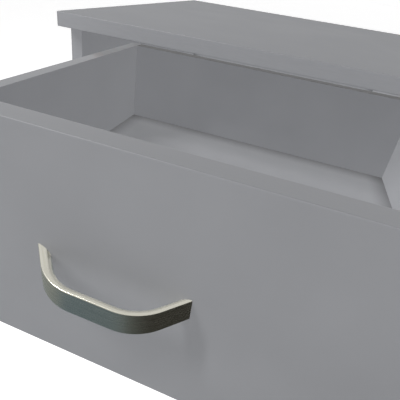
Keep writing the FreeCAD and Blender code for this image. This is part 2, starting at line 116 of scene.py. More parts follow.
lens = bpy.data.cameras.new("camera")
lens.sensor_width = SENSOR_WIDTH
lens.lens = FOCAL_LENGTH
lens.shift_y = VIEW_SHIFT
lens.clip_start = 0.02
lens.clip_end = 200.0
camera = bpy.data.objects.new("camera", lens)
bpy.context.scene.collection.objects.link(camera)
camera.matrix_world = (
    Matrix.Translation(front_left_corner + EYE_FROM_CORNER)
    @ Matrix.Rotation(math.radians(EYE_HEADING), 4, "Z")
    @ Matrix.Rotation(math.radians(90 - EYE_DOWN), 4, "X")
    @ Matrix.Rotation(math.radians(EYE_ROLL), 4, "Z")
)
bpy.context.scene.camera = camera
print("camera at", [round(v, 3) for v in camera.location])

# %% [markdown]
# ## Nodes
# A material is a small tree of shader nodes. Typing each node's settings and links out by hand
# buries the idea, so one function adds a node of any kind: `inputs` holds what goes into its
# sockets, a plain value or another node's output, and everything else is a setting.

# %% Add a node
def add_node(tree, kind, inputs=None, ramp=None, **settings):
    """Add one node with its settings, its socket values and links, and the stops of a ramp."""
    node = tree.nodes.new(kind)
    for name, value in settings.items():
        setattr(node, name, value)
    for socket, value in (inputs or {}).items():
        if isinstance(value, bpy.types.NodeSocket):
            tree.links.new(value, node.inputs[socket])
        else:
            node.inputs[socket].default_value = value
    if ramp:
        while len(node.color_ramp.elements) < len(ramp):
            node.color_ramp.elements.new(1.0)
        for stop, (position, colour) in zip(node.color_ramp.elements, ramp):
            stop.position = position
            stop.color = linear(colour)
    return node


def new_material(name):
    """A material with its surface and output in place, and the piece's own coordinates."""
    material = bpy.data.materials.new(name)
    material.use_nodes = True
    tree = material.node_tree
    tree.nodes.clear()
    surface = add_node(tree, "ShaderNodeBsdfPrincipled")
    add_node(tree, "ShaderNodeOutputMaterial", {"Surface": surface.outputs["BSDF"]})
    place = add_node(tree, "ShaderNodeTexCoord").outputs["Object"]
    return material, tree, surface, place


def feed(tree, surface, links):
    """Link node outputs to the sockets of the surface."""
    for socket, output in links.items():
        tree.links.new(output, surface.inputs[socket])


# %% [markdown]
# ## Matt grey foil on fibreboard
# The boards are medium-density fibreboard with a printed and lacquered paper foil glued on under
# a heated press. The press plate leaves a very fine pore in the lacquer, so the surface is matt
# and even with a soft, wide sheen. The eye should read one quiet blue-grey that drifts by a shade
# over a hand's width, and never a mirror.

# %% Foil-wrapped board
FOIL_PORE = 0.8  # mm. The real pore is nearer 0.3 mm and would be too fine to show.
FOIL_PORE_DEPTH = 0.012  # mm
FOIL_DRIFT = 90.0  # mm

grey_foil, tree, surface, place = new_material("grey_paper_foil_pressed_and_lacquered")
surface.inputs["IOR"].default_value = 1.47
surface.inputs["Specular IOR Level"].default_value = 0.3
drift = add_node(
    tree, "ShaderNodeTexNoise", {"Vector": place, "Scale": per_metre(FOIL_DRIFT), "Detail": 3.0})
tone = add_node(
    tree, "ShaderNodeValToRGB", {"Fac": drift.outputs["Fac"]}, ramp=((0.3, "#7b7c7f"), (0.7, "#7f8083")))
pore = add_node(
    tree, "ShaderNodeTexNoise", {"Vector": place, "Scale": per_metre(FOIL_PORE), "Detail": 2.0})
gloss = add_node(
    tree, "ShaderNodeMapRange",
    {"Value": drift.outputs["Fac"], "From Min": 0.3, "From Max": 0.7, "To Min": 0.55, "To Max": 0.63})
relief = add_node(
    tree, "ShaderNodeBump",
    {"Height": pore.outputs["Fac"], "Strength": 1.0, "Distance": FOIL_PORE_DEPTH * MM})
feed(tree, surface, {
    "Base Color": tone.outputs["Color"], "Roughness": gloss.outputs["Result"],
    "Normal": relief.outputs["Normal"]})
print(grey_foil.name, "with", len(tree.nodes), "nodes")

# %% [markdown]
# ## Edge band
# The narrow edges of the boards are closed with a strip of plastic, extruded in the foil's
# colour, glued on and scraped flush. Plastic is denser and smoother than paper, so the edges
# look a touch lighter than the faces and catch the light a little sooner.

# %% Edge band
BAND_GRAIN = (12.0, 1.2)  # mm, along and across the extruder's faint drawing lines

edge_band, tree, surface, place = new_material("grey_abs_edge_band_extruded")
surface.inputs["IOR"].default_value = 1.53
surface.inputs["Specular IOR Level"].default_value = 0.4
along_band, across_band = (per_metre(size) for size in BAND_GRAIN)
drawn = add_node(
    tree, "ShaderNodeMapping", {"Vector": place, "Scale": [along_band, across_band, across_band]})
lines = add_node(
    tree, "ShaderNodeTexNoise", {"Vector": drawn.outputs["Vector"], "Scale": 1.0, "Detail": 3.0})
tone = add_node(
    tree, "ShaderNodeValToRGB", {"Fac": lines.outputs["Fac"]}, ramp=((0.3, "#808184"), (0.7, "#838487")))
gloss = add_node(
    tree, "ShaderNodeMapRange",
    {"Value": lines.outputs["Fac"], "From Min": 0.3, "From Max": 0.7, "To Min": 0.42, "To Max": 0.5})
relief = add_node(
    tree, "ShaderNodeBump", {"Height": lines.outputs["Fac"], "Strength": 1.0, "Distance": 0.01 * MM})
feed(tree, surface, {
    "Base Color": tone.outputs["Color"], "Roughness": gloss.outputs["Result"],
    "Normal": relief.outputs["Normal"]})
print(edge_band.name, "with", len(tree.nodes), "nodes")

# %% [markdown]
# ## Edge band with painted shade, deep in the desk
# The back of a drawer never leaves the desk, and its top edge always lies in the shade of the
# board above. The fill suns at the end cast no shadow, so they would make that edge glow through
# the gap. A copy of the edge band with an ambient occlusion node paints that shade into its
# colour: painted shade, darker wherever another board is near.

# %% Paint shade on the band of the drawer backs
BACK_SHADE = 90.0  # mm, how near another board has to be to shade the edge of a drawer's back

painted_back_band = edge_band.copy()
painted_back_band.name = "grey_abs_edge_band_with_painted_shade"
tree = painted_back_band.node_tree
surface = next(node for node in tree.nodes if node.type == "BSDF_PRINCIPLED")
# Painted shade: ambient occlusion darkens the band's colour wherever another board is near.
painted_shade = add_node(
    tree, "ShaderNodeAmbientOcclusion",
    {"Color": surface.inputs["Base Color"].links[0].from_socket, "Distance": BACK_SHADE * MM})
feed(tree, surface, {"Base Color": painted_shade.outputs["Color"]})
print(painted_back_band.name, "with", len(tree.nodes), "nodes")

# %% [markdown]
# ## Raw fibreboard
# Where a drill or a saw has gone through the foil, the bare board shows: the cam pockets, the
# dowel holes and the grooves that hold the hardboard. It is a dry, fibrous light brown with no
# shine at all, a little darker where the cutter has burnished it.

# %% Bare board in holes and grooves
FIBRE = 1.2  # mm

raw_board, tree, surface, place = new_material("raw_medium_density_fibreboard_milled")
surface.inputs["Roughness"].default_value = 0.92
fibre = add_node(
    tree, "ShaderNodeTexNoise",
    {"Vector": place, "Scale": per_metre(FIBRE), "Detail": 5.0, "Roughness": 0.7, "Distortion": 0.6})
tone = add_node(
    tree, "ShaderNodeValToRGB", {"Fac": fibre.outputs["Fac"]}, ramp=((0.3, "#8a6c48"), (0.7, "#b39468")))
relief = add_node(
    tree, "ShaderNodeBump", {"Height": fibre.outputs["Fac"], "Strength": 1.0, "Distance": 0.08 * MM})
feed(tree, surface, {"Base Color": tone.outputs["Color"], "Normal": relief.outputs["Normal"]})
print(raw_board.name, "with", len(tree.nodes), "nodes")

# %% [markdown]
# ## Hardboard, grey on one side
# The drawer floors and the pedestal's back are thin wet-pressed hardboard. One side is lacquered
# to match the foil. The other was pressed against a wire screen, which leaves a fine woven print
# in the brown fibre. Two crossed wave textures draw the screen. The lacquer is rolled on thin and
# dries duller than the foil. Painted shade darkens it a little where a floor meets the walls,
# because the fill suns at the end cast no shadow there.

# %% Lacquered side and screen side
LACQUER_DRIFT = 70.0  # mm
LACQUER_GRAIN = 1.5  # mm
CORNER_SHADE = 25.0  # mm, how far the shade reaches on to a floor from a wall
PULP_CLUMP = 4.0  # mm
SCREEN_PITCH = 2.4  # mm. A real screen is nearer 1.3 mm, and is drawn coarser so that it shows.
WAVES_PER_SCALE = 20 / (2 * math.pi)  # bands that a wave texture of scale 1 draws in one metre

grey_lacquer, tree, surface, place = new_material("hardboard_grey_lacquer_with_painted_corner_shade")
surface.inputs["Specular IOR Level"].default_value = 0.2
drift = add_node(
    tree, "ShaderNodeTexNoise", {"Vector": place, "Scale": per_metre(LACQUER_DRIFT), "Detail": 3.0})
tone = add_node(
    tree, "ShaderNodeValToRGB", {"Fac": drift.outputs["Fac"]}, ramp=((0.3, "#8e8f92"), (0.7, "#939497")))
grain = add_node(
    tree, "ShaderNodeTexNoise", {"Vector": place, "Scale": per_metre(LACQUER_GRAIN), "Detail": 3.0})
gloss = add_node(
    tree, "ShaderNodeMapRange",
    {"Value": grain.outputs["Fac"], "From Min": 0.3, "From Max": 0.7, "To Min": 0.4, "To Max": 0.5})
relief = add_node(
    tree, "ShaderNodeBump", {"Height": grain.outputs["Fac"], "Strength": 1.0, "Distance": 0.02 * MM})
# Painted shade: ambient occlusion darkens the lacquer's colour near the walls.
painted_shade = add_node(
    tree, "ShaderNodeAmbientOcclusion", {"Color": tone.outputs["Color"], "Distance": CORNER_SHADE * MM})
feed(tree, surface, {
    "Base Color": painted_shade.outputs["Color"], "Roughness": gloss.outputs["Result"],
    "Normal": relief.outputs["Normal"]})

brown_screen, tree, surface, place = new_material("hardboard_screen_side_wet_pressed")
surface.inputs["Roughness"].default_value = 0.85
fibre = add_node(
    tree, "ShaderNodeTexNoise",
    {"Vector": place, "Scale": per_metre(PULP_CLUMP), "Detail": 6.0, "Roughness": 0.65})
tone = add_node(
    tree, "ShaderNodeValToRGB", {"Fac": fibre.outputs["Fac"]}, ramp=((0.3, "#5f452c"), (0.7, "#80603f")))
threads = [
    add_node(
        tree, "ShaderNodeTexWave", {"Vector": place, "Scale": per_metre(SCREEN_PITCH) / WAVES_PER_SCALE},
        bands_direction=direction)
    for direction in ("X", "DIAGONAL")
]
screen = add_node(
    tree, "ShaderNodeMath", {0: threads[0].outputs["Fac"], 1: threads[1].outputs["Fac"]},
    operation="MULTIPLY")
relief = add_node(
    tree, "ShaderNodeBump", {"Height": screen.outputs["Value"], "Strength": 1.0, "Distance": 0.15 * MM})
feed(tree, surface, {"Base Color": tone.outputs["Color"], "Normal": relief.outputs["Normal"]})
print("hardboard: one lacquered side, one screen side")

# %% [markdown]
# ## Brushed satin nickel
# The handles are zinc castings, brushed along their length and plated with satin nickel. Nickel
# is warmer than chrome. The brushing smears reflections across the bar, so a noise stretched
# along the length disturbs both the relief and the roughness.

# %% Brushed nickel
BRUSH_LENGTH = 60.0  # mm
BRUSH_WIDTH = 0.7  # mm

brushed_nickel, tree, surface, place = new_material("satin_nickel_plated_and_brushed")
surface.inputs["Metallic"].default_value = 1.0
along_brush, across_brush = per_metre(BRUSH_LENGTH), per_metre(BRUSH_WIDTH)
stretched = add_node(
    tree, "ShaderNodeMapping", {"Vector": place, "Scale": [along_brush, along_brush, across_brush]})
brush = add_node(
    tree, "ShaderNodeTexNoise", {"Vector": stretched.outputs["Vector"], "Scale": 1.0, "Detail": 2.0})
tone = add_node(
    tree, "ShaderNodeValToRGB", {"Fac": brush.outputs["Fac"]}, ramp=((0.3, "#c0beb2"), (0.7, "#cac8bd")))
gloss = add_node(
    tree, "ShaderNodeMapRange",
    {"Value": brush.outputs["Fac"], "From Min": 0.3, "From Max": 0.7, "To Min": 0.23, "To Max": 0.29})
relief = add_node(
    tree, "ShaderNodeBump", {"Height": brush.outputs["Fac"], "Strength": 1.0, "Distance": 0.0007 * MM})
feed(tree, surface, {
    "Base Color": tone.outputs["Color"], "Roughness": gloss.outputs["Result"],
    "Normal": relief.outputs["Normal"]})
print(brushed_nickel.name, "with", len(tree.nodes), "nodes")

# %% [markdown]
# ## Fittings: zinc, plated steel and powder coat
# The small fittings differ in how they were made more than in colour. Cams are tumbled zinc die
# castings, dull and slightly pitted. Screws are bright zinc-plated steel, smoother, with a faint
# cloud of blue and straw from the plating bath. The runners are steel under a white powder coat,
# which melts into a gentle orange peel. A table of the differences drives one loop.

# %% Three coated metals
COATINGS = {
    "zinc_alloy_die_cast_and_tumbled": {
        "metallic": 1.0, "grain": 1.0, "depth": 0.03, "gloss": (0.38, 0.55),
        "tones": ("#8f9193", "#a9abad")},
    "steel_bright_zinc_plated": {
        "metallic": 1.0, "grain": 2.5, "depth": 0.006, "gloss": (0.2, 0.34),
        "tones": ("#b9bec6", "#cfcab9")},
    "steel_white_powder_coat": {
        "metallic": 0.0, "grain": 1.6, "depth": 0.03, "gloss": (0.32, 0.42),
        "tones": ("#dcdcd8", "#e4e4e0")},
}

coated = {}
for name, coat in COATINGS.items():
    coated[name], tree, surface, place = new_material(name)
    surface.inputs["Metallic"].default_value = coat["metallic"]
    grain = add_node(
        tree, "ShaderNodeTexNoise", {"Vector": place, "Scale": per_metre(coat["grain"]), "Detail": 3.0})
    tone = add_node(
        tree, "ShaderNodeValToRGB", {"Fac": grain.outputs["Fac"]},
        ramp=tuple(zip((0.35, 0.65), coat["tones"])))
    gloss = add_node(
        tree, "ShaderNodeMapRange",
        {"Value": grain.outputs["Fac"], "From Min": 0.3, "From Max": 0.7,
         "To Min": coat["gloss"][0], "To Max": coat["gloss"][1]})
    relief = add_node(
        tree, "ShaderNodeBump",
        {"Height": grain.outputs["Fac"], "Strength": 1.0, "Distance": coat["depth"] * MM})
    feed(tree, surface, {
        "Base Color": tone.outputs["Color"], "Roughness": gloss.outputs["Result"],
        "Normal": relief.outputs["Normal"]})
zinc_casting, zinc_plate, powder_coat = coated.values()
print("coated metals:", ", ".join(coated))

# %% [markdown]
# ## Moulded nylon and beech
# Rollers and glides are injection-moulded nylon: slightly waxy, because light enters the surface
# and comes out a little further on, with a faint spark-eroded texture from the mould. Dowels are
# unfinished beech, pale and pinkish, with short dark flecks along the grain.

# %% Nylon and beech
NYLON_TEXTURE = 0.6  # mm
BEECH_FLECK = (3.0, 0.5)  # mm, along and across the grain
NYLONS = {
    "nylon_white_injection_moulded": ("#d8d8d2", "#e0e0da"),
    "nylon_grey_injection_moulded": ("#5e5f62", "#68696c"),
}

nylon = {}
for name, tones in NYLONS.items():
    nylon[name], tree, surface, place = new_material(name)
    surface.inputs["IOR"].default_value = 1.53
    surface.inputs["Subsurface Weight"].default_value = 0.15
    surface.inputs["Subsurface Scale"].default_value = 1.0 * MM
    texture = add_node(
        tree, "ShaderNodeTexNoise", {"Vector": place, "Scale": per_metre(NYLON_TEXTURE), "Detail": 2.0})
    tone = add_node(
        tree, "ShaderNodeValToRGB", {"Fac": texture.outputs["Fac"]}, ramp=tuple(zip((0.3, 0.7), tones)))
    gloss = add_node(
        tree, "ShaderNodeMapRange",
        {"Value": texture.outputs["Fac"], "From Min": 0.3, "From Max": 0.7,
         "To Min": 0.38, "To Max": 0.5})
    relief = add_node(
        tree, "ShaderNodeBump",
        {"Height": texture.outputs["Fac"], "Strength": 1.0, "Distance": 0.015 * MM})
    feed(tree, surface, {
        "Base Color": tone.outputs["Color"], "Roughness": gloss.outputs["Result"],
        "Normal": relief.outputs["Normal"]})
white_nylon, grey_nylon = nylon.values()

beech, tree, surface, place = new_material("beech_turned_and_fluted")
surface.inputs["Roughness"].default_value = 0.7
fleck_length, fleck_width = (per_metre(size) for size in BEECH_FLECK)
along_grain = add_node(
    tree, "ShaderNodeMapping", {"Vector": place, "Scale": [fleck_length, fleck_width, fleck_length]})
fleck = add_node(
    tree, "ShaderNodeTexNoise", {"Vector": along_grain.outputs["Vector"], "Scale": 1.0, "Detail": 4.0})
tone = add_node(
    tree, "ShaderNodeValToRGB", {"Fac": fleck.outputs["Fac"]}, ramp=((0.3, "#a9805a"), (0.6, "#d3ab7e")))
feed(tree, surface, {"Base Color": tone.outputs["Color"]})
print("nylons and beech ready")

# %% [markdown]
# ## From bmesh to finished piece
# A face is flat when it looks straight along one axis, which every board face does.

# %% Finish a piece
SQUARE_ON = 0.9999
CREASE = math.radians(35)


def shade(work, everything_smooth=False):
    """Round faces smooth, square faces flat, and a crease where two faces meet sharply."""
    for face in work.faces:
        face.smooth = everything_smooth or max(abs(c) for c in face.normal) < SQUARE_ON
    for edge in work.edges:
        edge.smooth = len(edge.link_faces) == 2 and edge.calc_face_angle() < CREASE


def finish_piece(work, name, replaced, materials):
    """Turn a bmesh into a piece that rides where the CAD nodes it replaces do."""
    mesh = bpy.data.meshes.new(name)
    work.to_mesh(mesh)
    work.free()
    for material in materials:
        mesh.materials.append(material)
    piece = bpy.data.objects.new(name, mesh)
    bpy.context.scene.collection.objects.link(piece)
    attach(piece, body_of[replaced[0]])
    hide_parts(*replaced)
    return piece


# %% [markdown]
# ## Desktop and drawer fronts
# These are the boards that everybody sees, plain slabs whose edges are rounded a little so that
# the foil doesn't crack. A cube, stretched to the size that the frame gives and bevelled all
# round, is the whole shape. Three segments are enough for a radius under a millimetre.

# %% Model the plain slabs
SLAB_EDGE = 0.8 * MM
FACE_ON = 0.9
drawers = ("top_drawer", "middle_drawer", "bottom_drawer")


def band_edges(work, size):
    """Give every face that doesn't look through the board's thickness the edge band."""
    through = min(range(3), key=lambda axis: size[axis])
    for face in work.faces:
        face.material_index = 0 if abs(face.normal[through]) > FACE_ON else 1


def slab(node):
    """A board with all its edges rounded, in the box of its CAD node."""
    low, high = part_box(node)
    work = bmesh.new()
    bmesh.ops.create_cube(work, size=1.0)
    bmesh.ops.scale(work, vec=high - low, verts=work.verts)
    bmesh.ops.translate(work, vec=(low + high) / 2, verts=work.verts)
    bmesh.ops.bevel(
        work, geom=list(work.edges), offset=SLAB_EDGE, offset_type="OFFSET", affect="EDGES",
        segments=3, profile=0.5, material=-1, clamp_overlap=True)
    band_edges(work, high - low)
    shade(work)
    return finish_piece(work, node + "_foiled", [node], [grey_foil, edge_band])


slabs = [slab(node) for node in ("desktop", *(drawer + "_front" for drawer in drawers))]
print("slabs:", [piece.name for piece in slabs])

# %% [markdown]
# ## Boards with drillings and grooves
# The uprights, the drawer sides and the rest keep their CAD shape, because their cam pockets,
# screw holes and grooves are real and can be seen from behind. A copy of the CAD mesh has its
# loose triangles merged back into whole faces, and only the outermost edges are rounded. The
# faces left inside the box are where a cutter went in, so they show raw board.

# %% Copy and ease a board
MERGE = 1e-6
COPLANAR = math.radians(0.5)
ON_PLANE = 1e-5
BOARD_EDGE = 0.5 * MM
EASED = 1.2 * BOARD_EDGE  # how far in from the box a face of a rounded edge can lie


def merged_copy(node):
    """A CAD node's mesh as a bmesh, its loose triangles joined into whole flat faces."""
    work = bmesh.new()
    work.from_mesh(nodes[node].data)
    bmesh.ops.remove_doubles(work, verts=work.verts, dist=MERGE)
    bmesh.ops.dissolve_limit(work, angle_limit=COPLANAR, verts=work.verts, edges=work.edges)
    return work


def planes_touched(corners, low, high, reach=ON_PLANE):
    """How many of a box's six planes all of these points lie on."""
    bounds = [(axis, corner[axis]) for corner in (low, high) for axis in range(3)]
    return sum(all(abs(point[axis] - place) < reach for point in corners) for axis, place in bounds)


def ease(work, edges, radius):
    """Round these edges."""
    bmesh.ops.bevel(
        work, geom=edges, offset=radius, offset_type="OFFSET", affect="EDGES",
        segments=2, profile=0.5, material=-1, clamp_overlap=True)


def drilled_board(node, band):
    """A board with its outer edges rounded and its holes and grooves left raw."""
    low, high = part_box(node)
    work = merged_copy(node)
    arrises = [e for e in work.edges if planes_touched([v.co for v in e.verts], low, high) == 2]
    ease(work, arrises, BOARD_EDGE)
    band_edges(work, high - low)
    for face in work.faces:
        if not planes_touched([face.calc_center_median()], low, high, reach=EASED):
            face.material_index = 2
    shade(work)
    return finish_piece(work, node + "_foiled", [node], [grey_foil, band, raw_board])


carcass_boards = (
    "pedestal_left_side", "pedestal_right_side", "end_panel", "pedestal_base", "plinth", "modesty_panel")
box_boards = [f"{drawer}_{part}" for drawer in drawers for part in ("left_side", "right_side", "back")]
boards = [drilled_board(node, edge_band) for node in carcass_boards]
boards += [drilled_board(node, painted_back_band if node.endswith("_back") else edge_band) for node in box_boards]
print(len(boards), "drilled boards,", sum(len(b.data.polygons) for b in boards), "faces")

# %% [markdown]
# ## Hardboard panels
# Thin sheet needs no rounding: its edges sit in grooves. What matters is which way round it is.
# The lacquered side faces the user, up in a drawer and forwards in the pedestal, and the brown
# screen side faces down or to the wall.

# %% Turn the lacquered side to the user
def hardboard(node, good_side):
    """A sheet whose lacquered face looks along good_side."""
    work = merged_copy(node)
    for face in work.faces:
        face.material_index = 0 if face.normal.dot(good_side) > FACE_ON else 1
    shade(work)
    return finish_piece(work, node + "_sheet", [node], [grey_lacquer, brown_screen])


sheets = [hardboard("pedestal_back", Vector((0, -1, 0)))]
sheets += [hardboard(drawer + "_floor", Vector((0, 0, 1))) for drawer in drawers]
print("sheets:", [piece.name for piece in sheets])

# %% [markdown]
# ## Bowed handle
# The handle is one bar of D section: a flat face towards the user and a crowned side that the
# fingers close on. In plan it runs straight, bends by 45 degrees and runs straight into the
# drawer front. A section is drawn with spins, pushed and spun along one half of that plan, cut
# off flat where it meets the front, and mirrored.

# %% Draw the D section
HANDLE_DEPTH = 7.2 * MM
HANDLE_EDGE = 0.8 * MM
HANDLE_BEND = 40.0 * MM
LEG_SLOPE = math.radians(45)
FLAT_MARGIN = 0.3 * MM
EDGE_STEPS = 4
CROWN_STEPS = 20
BEND_STEPS = 16
ACROSS = Vector((1, 0, 0))


def arc(work, vert, centre, angle, steps):
    """Carry the outline on from its last vertex round a centre, and return the new last vertex."""
    turned = bmesh.ops.spin(
        work, geom=[vert], cent=centre, axis=ACROSS, dvec=(0, 0, 0), angle=angle, steps=steps,
        use_merge=False, use_normal_flip=False, use_duplicate=False)
    return turned["geom_last"][0]


def step(work, vert, place):
    """Carry the outline on from its last vertex in a straight line."""
    vert = bmesh.ops.extrude_vert_indiv(work, verts=[vert])["verts"][0]
    vert.co = place
    return vert


def handle_section(work, middle, half_height):
    """The closed D outline in the plane through the handle's middle, from the flat's top down."""
    flat_top = half_height - HANDLE_EDGE
    crown_rise = HANDLE_DEPTH - HANDLE_EDGE
    crown_radius = (crown_rise ** 2 + half_height ** 2) / (2 * crown_rise)
    crown_centre = middle + Vector((0, HANDLE_DEPTH - crown_radius, 0))
    crown_half_turn = math.asin(half_height / crown_radius)
    vert = work.verts.new(middle + Vector((0, 0, -flat_top)))
    vert = step(work, vert, middle + Vector((0, 0, FLAT_MARGIN - flat_top)))
    vert = step(work, vert, middle + Vector((0, 0, flat_top - FLAT_MARGIN)))
    vert = step(work, vert, middle + Vector((0, 0, flat_top)))
    vert = arc(work, vert, middle + Vector((0, HANDLE_EDGE, flat_top)), -math.pi / 2, EDGE_STEPS)
    vert = arc(work, vert, crown_centre, -2 * crown_half_turn, CROWN_STEPS)
    vert = arc(work, vert, middle + Vector((0, HANDLE_EDGE, -flat_top)), -math.pi / 2, EDGE_STEPS)
    bmesh.ops.remove_doubles(work, verts=work.verts, dist=10 * MERGE)
    return list(work.edges)


TRIAL_HALF_HEIGHT = 8.8 * MM

trial = bmesh.new()
section = handle_section(trial, Vector(), TRIAL_HALF_HEIGHT)
print("the section has", len(trial.verts), "points and", len(section), "edges")
trial.free()

# %% [markdown]
# ## The bar itself
# Half the bar is enough, because the other half is its mirror image. The open end of the section
# is pushed straight, spun through the bend and pushed on past the drawer front, and a cut along
# the front's face then gives the foot exactly the slanted shape that it has there.

# %% Sweep the section along the bar
def corners_of(edges):
    """The corners of some edges, each once."""
    return list(dict.fromkeys(v for e in edges for v in e.verts))


def push(work, edges, travel):
    """Extrude an open end in a straight line and return its new end."""
    pushed = bmesh.ops.extrude_edge_only(work, edges=edges)["geom"]
    verts = [item for item in pushed if isinstance(item, bmesh.types.BMVert)]
    bmesh.ops.translate(work, vec=travel, verts=verts)
    ends = set(verts)
    return [e for e in work.edges if ends.issuperset(e.verts)]


def bowed_handle(handle, front):
    """Half the bar, swept from its middle to past the drawer front, cut flat and mirrored."""
    low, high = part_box(handle)
    face_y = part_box(front)[0].y
    middle = Vector(((low.x + high.x) / 2, low.y, (low.z + high.z) / 2))
    bend_run = HANDLE_BEND * math.sin(LEG_SLOPE)
    bend_drop = HANDLE_BEND * (1 - math.cos(LEG_SLOPE))
    leg_run = (face_y - low.y - bend_drop) / math.tan(LEG_SLOPE)
    grip_end = (high.x - low.x) / 2 - leg_run - bend_run
    past_the_front = leg_run + HANDLE_DEPTH

    work = bmesh.new()
    end = handle_section(work, middle, (high.z - low.z) / 2)
    end = push(work, end, Vector((grip_end, 0, 0)))
    bent = bmesh.ops.spin(
        work, geom=[*end, *corners_of(end)],
        cent=middle + Vector((grip_end, HANDLE_BEND, 0)),
        axis=(0, 0, 1), dvec=(0, 0, 0), angle=LEG_SLOPE, steps=BEND_STEPS,
        use_merge=False, use_normal_flip=False, use_duplicate=False)
    end = [item for item in bent["geom_last"] if isinstance(item, bmesh.types.BMEdge)]
    push(work, end, Vector((past_the_front, past_the_front * math.tan(LEG_SLOPE), 0)))

    bmesh.ops.bisect_plane(
        work, geom=[*work.verts, *work.edges, *work.faces], dist=MERGE,
        plane_co=(0, face_y, 0), plane_no=(0, 1, 0), clear_outer=True)
    foot = [
        e for e in work.edges if e.is_boundary and all(abs(v.co.y - face_y) < ON_PLANE for v in e.verts)]
    bmesh.ops.holes_fill(work, edges=foot, sides=0)
    bmesh.ops.mirror(
        work, geom=[*work.verts, *work.edges, *work.faces], axis="X",
        matrix=Matrix.Translation(-middle), merge_dist=MERGE)
    bmesh.ops.remove_doubles(work, verts=work.verts, dist=MERGE)
    bmesh.ops.recalc_face_normals(work, faces=work.faces)
    shade(work, everything_smooth=True)
    open_edges = sum(not e.is_manifold for e in work.edges)
    volume = work.calc_volume() / (10 * MM) ** 3
    print(handle, len(work.faces), "faces,", open_edges, "open edges,", round(volume, 2), "cm3")
    return finish_piece(work, handle + "_brushed", [handle], [brushed_nickel])


for drawer in drawers:
    bowed_handle(drawer + "_handle", drawer + "_front")

# %% [markdown]
# ## Reading the fastenings from the frame
# A CAD node of fastenings holds many separate solids. Rather than list their places again, each
# solid is found as an island of joined corners, and its box says where it sits and how long it
# is. A screw's head is at the end where its corners stray furthest from its axis.

# %% Find each solid of a node
def islands(node):
    """The corners of each separate solid of a CAD node."""
    work = bmesh.new()
    work.from_mesh(nodes[node].data)
    bmesh.ops.remove_doubles(work, verts=work.verts, dist=MERGE)
    left, found = set(work.verts), []
    while left:
        queue, island = [left.pop()], []
        while queue:
            vert = queue.pop()
            island.append(vert.co.copy())
            for edge in vert.link_edges:
                other = edge.other_vert(vert)
                if other in left:
                    left.discard(other)
                    queue.append(other)
        found.append(island)
    work.free()
    return sorted(found, key=lambda island: min(tuple(point) for point in island))


def box_of(points):
    """Lowest and highest corner of some points."""
    return [Vector(pick(point[axis] for point in points) for axis in range(3)) for pick in (min, max)]


print("the desk stands on", len(islands("glides")), "glides")

# %% [markdown]
# ## Screws
# All the screws are of the cross-recess kind, plated and machine made. One function draws a
# screw from its outline: a round top with a cross left open in it, then ring after ring down the
# head and the shank. The cross is pressed in by pushing its outline down and closing it.

# %% Draw one screw
RECESS_TAPER = 0.55
CROSS_REACH = 0.55  # of the head's radius
CROSS_WIDTH = 0.22  # of the head's radius
CROSS_DEPTH = 0.6  # of the head's height
HEAD_SIDES = 24


def cross_outline(work, reach, width, height):
    """The twelve corners of a cross, joined in a ring."""
    corners = []
    for turn in range(4):
        quarter = Matrix.Rotation(turn * math.pi / 2, 3, "Z")
        for x, y in ((reach, -width / 2), (reach, width / 2), (width / 2, width / 2)):
            corners.append(work.verts.new(quarter @ Vector((x, y, height))))
    return [work.edges.new(pair) for pair in zip(corners, corners[1:] + corners[:1])]


def screw(rings, recess, width, depth):
    """A screw along -Z with its head up. Rings are (radius, height) pairs from the top down."""
    work = bmesh.new()
    (top_radius, top), *below = rings
    bmesh.ops.create_circle(
        work, cap_ends=False, segments=HEAD_SIDES, radius=top_radius,
        matrix=Matrix.Translation((0, 0, top)))
    rim = list(work.edges)
    cross = cross_outline(work, recess, width, top)
    bmesh.ops.triangle_fill(work, edges=rim + cross, use_beauty=True)
    bottom = push(work, cross, Vector((0, 0, -depth)))
    bmesh.ops.scale(work, vec=(RECESS_TAPER, RECESS_TAPER, 1), verts=corners_of(bottom))
    bmesh.ops.contextual_create(work, geom=bottom)
    radius, height = top_radius, top
    for next_radius, next_height in below:
        rim = push(work, rim, Vector((0, 0, next_height - height)))
        spread = next_radius / radius
        bmesh.ops.scale(work, vec=(spread, spread, 1), verts=corners_of(rim))
        radius, height = next_radius, next_height
    bmesh.ops.contextual_create(work, geom=rim)
    bmesh.ops.recalc_face_normals(work, faces=work.faces)
    mesh = bpy.data.meshes.new("one_screw")
    work.to_mesh(mesh)
    work.free()
    return mesh


# %% [markdown]
# ## A screw for every place
# The handle screws and runner screws have low domed heads that stand on the surface. Those in the
# drawer backs are countersunk and lie flush. The frame gives each one's place, direction and
# length, and the fresh screw is stamped there.

# %% Put a screw in the place of every CAD screw of a node
def axis_and_head(points):
    """A fastener's head centre and the way its head looks."""
    low, high = box_of(points)
    size = high - low
    axis = max(range(3), key=lambda k: size[k])
    middle = (low + high) / 2
    widest = max(points, key=lambda p: sum((p[k] - middle[k]) ** 2 for k in range(3) if k != axis))
    outward = Vector([0, 0, 0])
    outward[axis] = 1 if widest[axis] > middle[axis] else -1
    crown = middle.copy()
    crown[axis] = high[axis] if outward[axis] > 0 else low[axis]
    return crown, outward, size[axis]


def stamp(work, mesh, place, outward):
    """Add a copy of a mesh that was drawn upright, with its top at a place and looking outward."""
    already = len(work.verts)
    work.from_mesh(mesh)
    work.verts.ensure_lookup_table()
    turn = Vector((0, 0, 1)).rotation_difference(outward).to_matrix().to_4x4()
    bmesh.ops.transform(work, matrix=Matrix.Translation(place) @ turn, verts=work.verts[already:])


POINT_FROM = 0.85  # the share of its length after which a screw narrows to its point
POINT = 0.3  # the tip's radius, as a share of the shank's


def pan_rings(radius, height, shank, length):
    """A low domed head that stands on the surface."""
    return (
        (0.68 * radius, 0), (0.9 * radius, -0.2 * height), (radius, -0.55 * height), (radius, -height),
        (shank, -height), (shank, -POINT_FROM * length), (POINT * shank, -length))


def countersunk_rings(radius, height, shank, length):
    """A head that tapers into the board and lies flush."""
    return ((radius, 0), (shank, -height), (shank, -POINT_FROM * length), (POINT * shank, -length))


